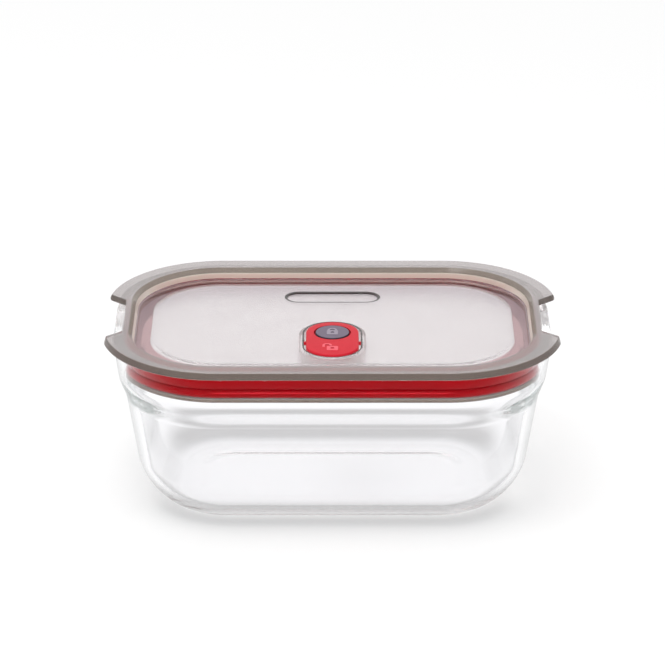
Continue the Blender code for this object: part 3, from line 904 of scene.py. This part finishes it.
def add_node(tree, kind, settings=None, links=None):
    """One node with its settings, by input or property name, and its links, by input.

    An input goes by its number where two inputs share a name.
    """
    node = tree.nodes.new(kind)
    for name, value in (settings or {}).items():
        if isinstance(name, str) and name not in node.inputs:
            setattr(node, name, value)
        else:
            node.inputs[name].default_value = value
    for name, source in (links or {}).items():
        tree.links.new(source, node.inputs[name])
    return node


def new_material(name):
    """An empty material and its node tree."""
    material = bpy.data.materials.new(name)
    material.use_nodes = True
    material.node_tree.nodes.clear()
    return material, material.node_tree


def bent_light_and_shade_band(tree):
    """1 on the round bottom edge, where the thick glass bends lamp light aside, else 0.

    It fades out up the wall and where the surface turns level. At the two ends, where less of
    the dark shows, it is a fifth. Besides dimming lamp light there, it marks where the glass is
    painted grey as painted shade.
    """
    place = add_node(tree, "ShaderNodeTexCoord")
    height = add_node(tree, "ShaderNodeSeparateXYZ", {}, {"Vector": place.outputs["Object"]})
    low = add_node(
        tree,
        "ShaderNodeMapRange",
        {"From Min": THICK_EDGE_LOW, "From Max": THICK_EDGE_HIGH, "To Min": 1, "To Max": 0},
        {"Value": height.outputs["Z"]},
    )
    facing = add_node(tree, "ShaderNodeSeparateXYZ", {}, {"Vector": place.outputs["Normal"]})
    absolute, multiply = {"operation": "ABSOLUTE"}, {"operation": "MULTIPLY"}
    level = add_node(tree, "ShaderNodeMath", absolute, {0: facing.outputs["Z"]})
    curved = add_node(
        tree,
        "ShaderNodeMapRange",
        {"From Min": 0.7, "From Max": 0.985, "To Min": 1, "To Max": 0},
        {"Value": level.outputs[0]},
    )
    both = add_node(tree, "ShaderNodeMath", multiply, {0: low.outputs[0], 1: curved.outputs[0]})
    lengthwise = add_node(tree, "ShaderNodeMath", absolute, {0: facing.outputs["Y"]})
    front_and_rear = add_node(
        tree,
        "ShaderNodeMapRange",
        {"From Min": 0.05, "From Max": 0.4, "To Min": 0.2, "To Max": 1},
        {"Value": lengthwise.outputs[0]},
    )
    links = {0: both.outputs[0], 1: front_and_rear.outputs[0]}
    return add_node(tree, "ShaderNodeMath", multiply, links).outputs[0]


def clear_pressed_glass():
    """Soda-lime glass, pressed and fire-polished: clear, with a faint slow ripple.

    It is dark grey where one looks along a wall: partly the far longer path through the glass,
    and beyond that painted shade. Round the thick bottom edge it is painted grey, as painted
    shade. The specular tint keeps its reflections of the white room from washing it out.
    """
    material, tree = new_material("clear_pressed_glass")
    place = add_node(tree, "ShaderNodeTexCoord").outputs["Object"]
    ripple = add_node(
        tree, "ShaderNodeTexNoise", {"Scale": GLASS_RIPPLE, "Detail": 1}, {"Vector": place}
    )
    bump = add_node(
        tree,
        "ShaderNodeBump",
        {"Strength": 0.15, "Distance": GLASS_RIPPLE_DEPTH},
        {"Height": ripple.outputs["Fac"]},
    )
    # Painted shade: the base colour turns dark grey where one looks along a wall
    slant = add_node(tree, "ShaderNodeLayerWeight", {"Blend": 0.5})
    tint = add_node(tree, "ShaderNodeValToRGB", {}, {"Fac": slant.outputs["Facing"]})
    tint.color_ramp.elements[0].position = 0.66
    tint.color_ramp.elements[0].color = linear("#fefeff")
    tint.color_ramp.elements[1].color = linear("#343c40")
    # Painted shade: the round bottom edge is painted grey
    edge = bent_light_and_shade_band(tree)
    links = {"Fac": edge, "Color1": tint.outputs["Color"]}
    body = add_node(tree, "ShaderNodeMixRGB", {"Color2": linear("#b2b0b0")}, links)
    glass = add_node(
        tree,
        "ShaderNodeBsdfPrincipled",
        {
            "Roughness": 0.0,
            "IOR": 1.50,
            "Transmission Weight": 1,
            "Specular Tint": linear("#404040"),
        },
        {"Base Color": body.outputs[0], "Normal": bump.outputs["Normal"]},
    )
    out = finish_clear(tree, glass, "#fefeff", "#788086", edge)
    depth = add_node(
        tree, "ShaderNodeVolumeAbsorption", {"Color": linear("#e6f0ee"), "Density": 1.5}
    )
    tree.links.new(depth.outputs[0], out.inputs["Volume"])
    return material


def finish_clear(tree, shader, lamp_colour, edge_colour, dimmed=None):
    """Lets lamp light through a clear body, less where it meets the surface at a low angle.

    dimmed is a 0 to 1 output that says where the body holds most of it back.
    """
    path = add_node(tree, "ShaderNodeLightPath")
    lamp_rays = {0: path.outputs["Is Shadow Ray"], 1: path.outputs["Is Diffuse Ray"]}
    lit = add_node(tree, "ShaderNodeMath", {"operation": "MAXIMUM"}, lamp_rays)
    slant = add_node(tree, "ShaderNodeLayerWeight", {"Blend": 0.5})
    tint = add_node(tree, "ShaderNodeValToRGB", {}, {"Fac": slant.outputs["Facing"]})
    tint.color_ramp.elements[0].position = 0.4
    tint.color_ramp.elements[0].color = linear(lamp_colour)
    tint.color_ramp.elements[1].color = linear(edge_colour)
    colour = tint.outputs["Color"]
    if dimmed:
        links = {"Fac": dimmed, "Color1": colour}
        colour = add_node(tree, "ShaderNodeMixRGB", {"Color2": linear("#4c5456")}, links).outputs[0]
    clear = add_node(tree, "ShaderNodeBsdfTransparent", {}, {"Color": colour})
    links = {0: lit.outputs[0], 1: shader.outputs[0], 2: clear.outputs[0]}
    mix = add_node(tree, "ShaderNodeMixShader", {}, links)
    return add_node(tree, "ShaderNodeOutputMaterial", {}, {"Surface": mix.outputs[0]})


def smoked_plastic(name, face_tint, steep_shade_tint, clarity, roughness_range):
    """Clear copolyester tinted smoky taupe, injection moulded, with a fine satin grain.

    Its steep faces are painted darker than its level faces: partly the longer path through the
    plastic where one looks into an edge, and beyond that painted shade.
    """
    material, tree = new_material(name)
    place = add_node(tree, "ShaderNodeTexCoord")
    on_surface = {"Vector": place.outputs["Object"]}
    grain = add_node(tree, "ShaderNodeTexNoise", {"Scale": LID_GRAIN, "Detail": 2}, on_surface)
    bump = add_node(
        tree,
        "ShaderNodeBump",
        {"Strength": 0.1, "Distance": LID_GRAIN_DEPTH},
        {"Height": grain.outputs["Fac"]},
    )
    facing = add_node(tree, "ShaderNodeSeparateXYZ", {}, {"Vector": place.outputs["Normal"]})
    absolute = {"operation": "ABSOLUTE"}
    level = add_node(tree, "ShaderNodeMath", absolute, {0: facing.outputs["Z"]})
    # Painted shade: steep faces take the darker tint
    tint = add_node(tree, "ShaderNodeValToRGB", {}, {"Fac": level.outputs[0]})
    tint.color_ramp.elements[0].position = 0.6
    tint.color_ramp.elements[0].color = linear(steep_shade_tint)
    tint.color_ramp.elements[1].position = 0.95
    tint.color_ramp.elements[1].color = linear(face_tint)
    cloud = add_node(tree, "ShaderNodeTexNoise", {"Scale": LID_CLOUD, "Detail": 2}, on_surface)
    roughness = add_node(
        tree,
        "ShaderNodeMapRange",
        {"To Min": roughness_range[0], "To Max": roughness_range[1]},
        {"Value": cloud.outputs["Fac"]},
    )
    plastic = add_node(
        tree,
        "ShaderNodeBsdfPrincipled",
        {"IOR": 1.50, "Transmission Weight": clarity, "Specular Tint": linear("#b0b0b0")},
        {
            "Base Color": tint.outputs["Color"],
            "Normal": bump.outputs["Normal"],
            "Roughness": roughness.outputs[0],
        },
    )
    finish_clear(tree, plastic, "#fcfbfa", "#c8c0be")
    return material


def moulded(name, colours, cloud_scale, grain_scale, grain_height, body, grain_detail=2):
    """An opaque moulded body: clouds between two close colours, and a grain over its surface.

    grain_height holds the settings of the grain's bump, and body those of the shader.
    """
    material, tree = new_material(name)
    on_surface = {"Vector": add_node(tree, "ShaderNodeTexCoord").outputs["Object"]}
    cloud = {"Scale": cloud_scale, "Detail": 3}
    clouds = add_node(tree, "ShaderNodeTexNoise", cloud, on_surface)
    tint = add_node(tree, "ShaderNodeValToRGB", {}, {"Fac": clouds.outputs["Fac"]})
    for element, colour in zip(tint.color_ramp.elements, colours):
        element.color = linear(colour)
    grain = {"Scale": grain_scale, "Detail": grain_detail}
    grains = add_node(tree, "ShaderNodeTexNoise", grain, on_surface)
    bump = add_node(tree, "ShaderNodeBump", grain_height, {"Height": grains.outputs["Fac"]})
    links = {"Base Color": tint.outputs["Color"], "Normal": bump.outputs["Normal"]}
    surface = add_node(tree, "ShaderNodeBsdfPrincipled", body, links)
    add_node(tree, "ShaderNodeOutputMaterial", {}, {"Surface": surface.outputs[0]})
    return material


def red_silicone():
    """Liquid silicone rubber from a polished mould: deep red, with a clear soft highlight."""
    return moulded(
        "red_moulded_silicone",
        ("#8e0005", "#a0000b"),
        SEAL_CLOUD,
        SEAL_GRAIN,
        {"Strength": 0.2, "Distance": SILICONE_GRAIN_DEPTH},
        {
            "Roughness": 0.12,
            "IOR": 1.41,
            "Specular IOR Level": 1.0,
            "Specular Tint": linear("#ff4452"),
        },
    )


def red_vent_plastic():
    """Polypropylene from a spark-eroded mould: bright red, with a fine satin grain."""
    return moulded(
        "red_moulded_plastic",
        ("#c81e2e", "#d42636"),
        ROCKER_CLOUD,
        ROCKER_GRAIN,
        {"Strength": 0.25, "Distance": ROCKER_GRAIN_DEPTH},
        {"Roughness": 0.38, "IOR": 1.49, "Specular IOR Level": 0.12},
    )


def grey_silicone():
    """Silicone rubber from a blasted mould: lavender grey and matt."""
    return moulded(
        "grey_moulded_silicone",
        ("#6c6270", "#766a7c"),
        BUTTON_CLOUD,
        BUTTON_GRAIN,
        {"Strength": 0.2, "Distance": SILICONE_GRAIN_DEPTH},
        {"Roughness": 0.45, "IOR": 1.41, "Specular IOR Level": 0.3},
    )


def relief(name, low, high):
    """Moulded relief painted lighter or darker than its surroundings: painted light and shade."""
    return moulded(
        name,
        (low, high),
        RELIEF_GRAIN,
        RELIEF_GRAIN,
        {"Strength": 0.2, "Distance": SILICONE_GRAIN_DEPTH},
        {"Roughness": 0.45, "IOR": 1.41, "Specular IOR Level": 0.3},
        grain_detail=3,
    )


# Stage, lights and camera


def direct_share(tree, by_eye, by_glass):
    """by_eye for rays from the camera, by_glass for those from glossy or clear surfaces, else 0."""
    path = add_node(tree, "ShaderNodeLightPath")
    eye_rays = {0: path.outputs["Is Camera Ray"]}
    eye = add_node(tree, "ShaderNodeMath", {"operation": "MULTIPLY", 1: by_eye}, eye_rays)
    glass_rays = {0: path.outputs["Is Glossy Ray"], 1: path.outputs["Is Transmission Ray"]}
    gloss = add_node(tree, "ShaderNodeMath", {"operation": "MAXIMUM"}, glass_rays)
    links = {0: gloss.outputs[0], 2: eye.outputs[0]}
    share = add_node(tree, "ShaderNodeMath", {"operation": "MULTIPLY_ADD", 1: by_glass}, links)
    return share.outputs[0]


def floor_material():
    """White sweep paper: the eye sees two fifths plain white, and three fifths as it is lit.

    So it keeps a soft shadow of the container. Glass sees more of the plain white.
    """
    material, tree = new_material("white_sweep")
    paper = add_node(tree, "ShaderNodeBsdfDiffuse", {"Color": linear("#ffffff")})
    white = add_node(tree, "ShaderNodeEmission", {"Color": linear("#ffffff"), "Strength": 1})
    share = direct_share(tree, by_eye=0.40, by_glass=0.70)
    links = {0: share, 1: paper.outputs[0], 2: white.outputs[0]}
    mix = add_node(tree, "ShaderNodeMixShader", {}, links)
    add_node(tree, "ShaderNodeOutputMaterial", {}, {"Surface": mix.outputs[0]})
    return material


def add_floor():
    """The sheet that the container stands on, a hair under its foot."""
    bpy.ops.object.select_all(action="DESELECT")
    bpy.ops.mesh.primitive_plane_add(size=FLOOR_SIZE, location=(0, 0, -FLOOR_DROP))
    floor = bpy.context.object
    floor.name = "floor"
    floor.data.materials.append(floor_material())


def light_world():
    """Soft light from all round; clear and glossy surfaces see a room that is dimmer in front."""
    world = bpy.data.worlds.new("studio")
    bpy.context.scene.world = world
    world.use_nodes = True
    tree = world.node_tree
    tree.nodes.clear()
    ambient = add_node(tree, "ShaderNodeBackground", {"Color": linear("#ffffff"), "Strength": 0.8})
    place = add_node(tree, "ShaderNodeTexCoord").outputs["Generated"]
    towards = add_node(tree, "ShaderNodeSeparateXYZ", {}, {"Vector": place})
    front = add_node(
        tree,
        "ShaderNodeMapRange",
        {"From Min": -0.7, "From Max": 0.1, "To Min": 0.75, "To Max": 1},
        {"Value": towards.outputs["Y"]},
    )
    above = add_node(
        tree,
        "ShaderNodeMapRange",
        {"From Min": 0.4, "From Max": 0.8, "To Min": 0, "To Max": 1},
        {"Value": towards.outputs["Z"]},
    )
    absolute = {"operation": "ABSOLUTE"}
    sideways = add_node(tree, "ShaderNodeMath", absolute, {0: towards.outputs["X"]})
    sides = add_node(
        tree,
        "ShaderNodeMapRange",
        {"From Min": 0.45, "From Max": 0.9, "To Min": 1, "To Max": 0.9},
        {"Value": sideways.outputs[0]},
    )
    links = {0: front.outputs[0], 1: sides.outputs[0]}
    round_about = add_node(tree, "ShaderNodeMath", {"operation": "MULTIPLY"}, links)
    links = {0: round_about.outputs[0], 1: above.outputs[0]}
    room = add_node(tree, "ShaderNodeMath", {"operation": "MAXIMUM"}, links)
    links = {"Strength": room.outputs[0]}
    white = add_node(tree, "ShaderNodeBackground", {"Color": linear("#ffffff")}, links)
    share = direct_share(tree, by_eye=1, by_glass=1)
    links = {0: share, 1: ambient.outputs[0], 2: white.outputs[0]}
    mix = add_node(tree, "ShaderNodeMixShader", {}, links)
    add_node(tree, "ShaderNodeOutputWorld", {}, {"Surface": mix.outputs[0]})


def add_softbox(name, location, width, height, power):
    """A rectangular lamp of so many watts that faces the container's base."""
    bpy.ops.object.light_add(type="AREA", location=location)
    lamp = bpy.context.object
    lamp.name = name
    lamp.data.shape = "RECTANGLE"
    lamp.data.size = width
    lamp.data.size_y = height
    lamp.data.energy = power
    lamp.rotation_euler = (-Vector(location)).to_track_quat("-Z", "Y").to_euler()


def add_camera():
    """The photograph's view: a long lens, a little above the lid."""
    aim = Vector((0, 0, LID_TOP))
    towards = Vector((0, -math.cos(CAMERA_ELEVATION), math.sin(CAMERA_ELEVATION)))
    bpy.ops.object.camera_add(location=aim + CAMERA_DISTANCE * towards)
    camera = bpy.context.object
    camera.rotation_euler = (-towards).to_track_quat("-Z", "Y").to_euler()
    camera.data.lens = camera.data.sensor_width * FOCAL_PIXELS / PHOTO_PIXELS
    camera.data.shift_x = (PHOTO_PIXELS / 2 - AIM_PIXEL_X) / PHOTO_PIXELS
    camera.data.shift_y = (AIM_PIXEL_Y - PHOTO_PIXELS / 2) / PHOTO_PIXELS
    camera.data.clip_end = VIEW_DEPTH
    bpy.context.scene.camera = camera


# The dressed container

glass = glass_container(clear_pressed_glass())
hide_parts("glass_container")
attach(glass, "container")

# One moulding, from a mould that is blasted in some places and polished in others. Each finish
# gives the tints of its level and steep faces, its clarity and its range of roughness. Some
# finishes carry painted light and painted shade.
smoky = lid(
    # Blasted: milky, so that what is under it only glimmers through
    smoked_plastic("frosted_panel_plastic", "#ede7e8", "#e0d8d8", 0.9, (0.22, 0.28)),
    [
        (smoked_plastic(*finish), on_place)
        for *finish, on_place in (
            # Polished: smoky taupe, with clear reflections
            ("smoked_flange_plastic", "#aca6a5", "#887a6c", 0.6, (0.10, 0.15), on_flange),
            # The same, painted darker as painted shade where one looks in from its side
            ("smoked_side_plastic", "#948a86", "#685e58", 0.6, (0.10, 0.15), on_outer_edge),
            # Cream: painted light from the glass rim behind it
            ("pale_wall_plastic", "#ece2d8", "#ecdfd2", 0.5, (0.20, 0.25), on_pale_wall),
            # Whitish, where it scatters the light inside the box
            ("milky_wall_plastic", "#f0f2ff", "#f2f4ff", 0.5, (0.20, 0.25), on_milky_wall),
            # Polished and clear, so that the red seal shows through it
            ("clear_channel_plastic", "#b8989a", "#d0bcbc", 1.0, (0.05, 0.08), on_channel),
            # Small steps that throw the light aside: painted nearly black, as painted shade
            ("smoked_edge_plastic", "#2c2828", "#2c2828", 0.5, (0.15, 0.20), on_dark_rim),
        )
    ],
)
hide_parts("lid")
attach(smoky, "lid")

seal = seal_ring(red_silicone())
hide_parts("seal_ring")
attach(seal, "lid")

rocker = vent_rocker(red_vent_plastic())
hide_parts("vent_rocker")
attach(rocker, "vent")

# Painted shade on the button's side and on the closed padlock's shackle and keyhole
shade_silicone = relief("painted_shade_silicone", "#2c2630", "#3a3440")
plug = vent_plug(grey_silicone(), shade_silicone)
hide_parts("vent_plug")
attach(plug, "vent")

closed_lock = lock_mark(
    "closed_lock_mark",
    CLOSED_LOCK_Y,
    BUTTON_TOP - BUTTON_DISH,
    swing=0,
    rise=SHACKLE_RISE / 2,
    # Painted light on the padlock's body
    material=relief("painted_light_silicone", "#8c8290", "#a49aa8"),
    bow_material=shade_silicone,
)
open_lock = lock_mark(
    "open_lock_mark",
    OPEN_LOCK_Y,
    ROCKER_TOP,
    swing=-SHACKLE_SWING,
    rise=SHACKLE_RISE,
    # Painted light on the padlock's body, painted shade on its shackle and keyhole
    material=relief("painted_light_plastic", "#e65260", "#f06a76"),
    bow_material=relief("painted_shade_plastic", "#8c1420", "#9c1c28"),
)
for mark in (closed_lock, open_lock):
    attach(mark, "vent")

add_floor()
light_world()
add_softbox("left_softbox", (-0.3, -0.4, 1.6), width=0.7, height=0.7, power=9)
add_softbox("front_softbox", (-0.02, -1.7, 0.34), width=0.5, height=0.2, power=5)
add_camera()
bpy.context.scene.view_settings.view_transform = "Standard"

# Light runs a long way inside the glass walls before it leaves them
cycles = bpy.context.scene.cycles
cycles.max_bounces = cycles.glossy_bounces = cycles.transmission_bounces = LIGHT_BOUNCES
cycles.transparent_max_bounces = CLEAR_LAYERS
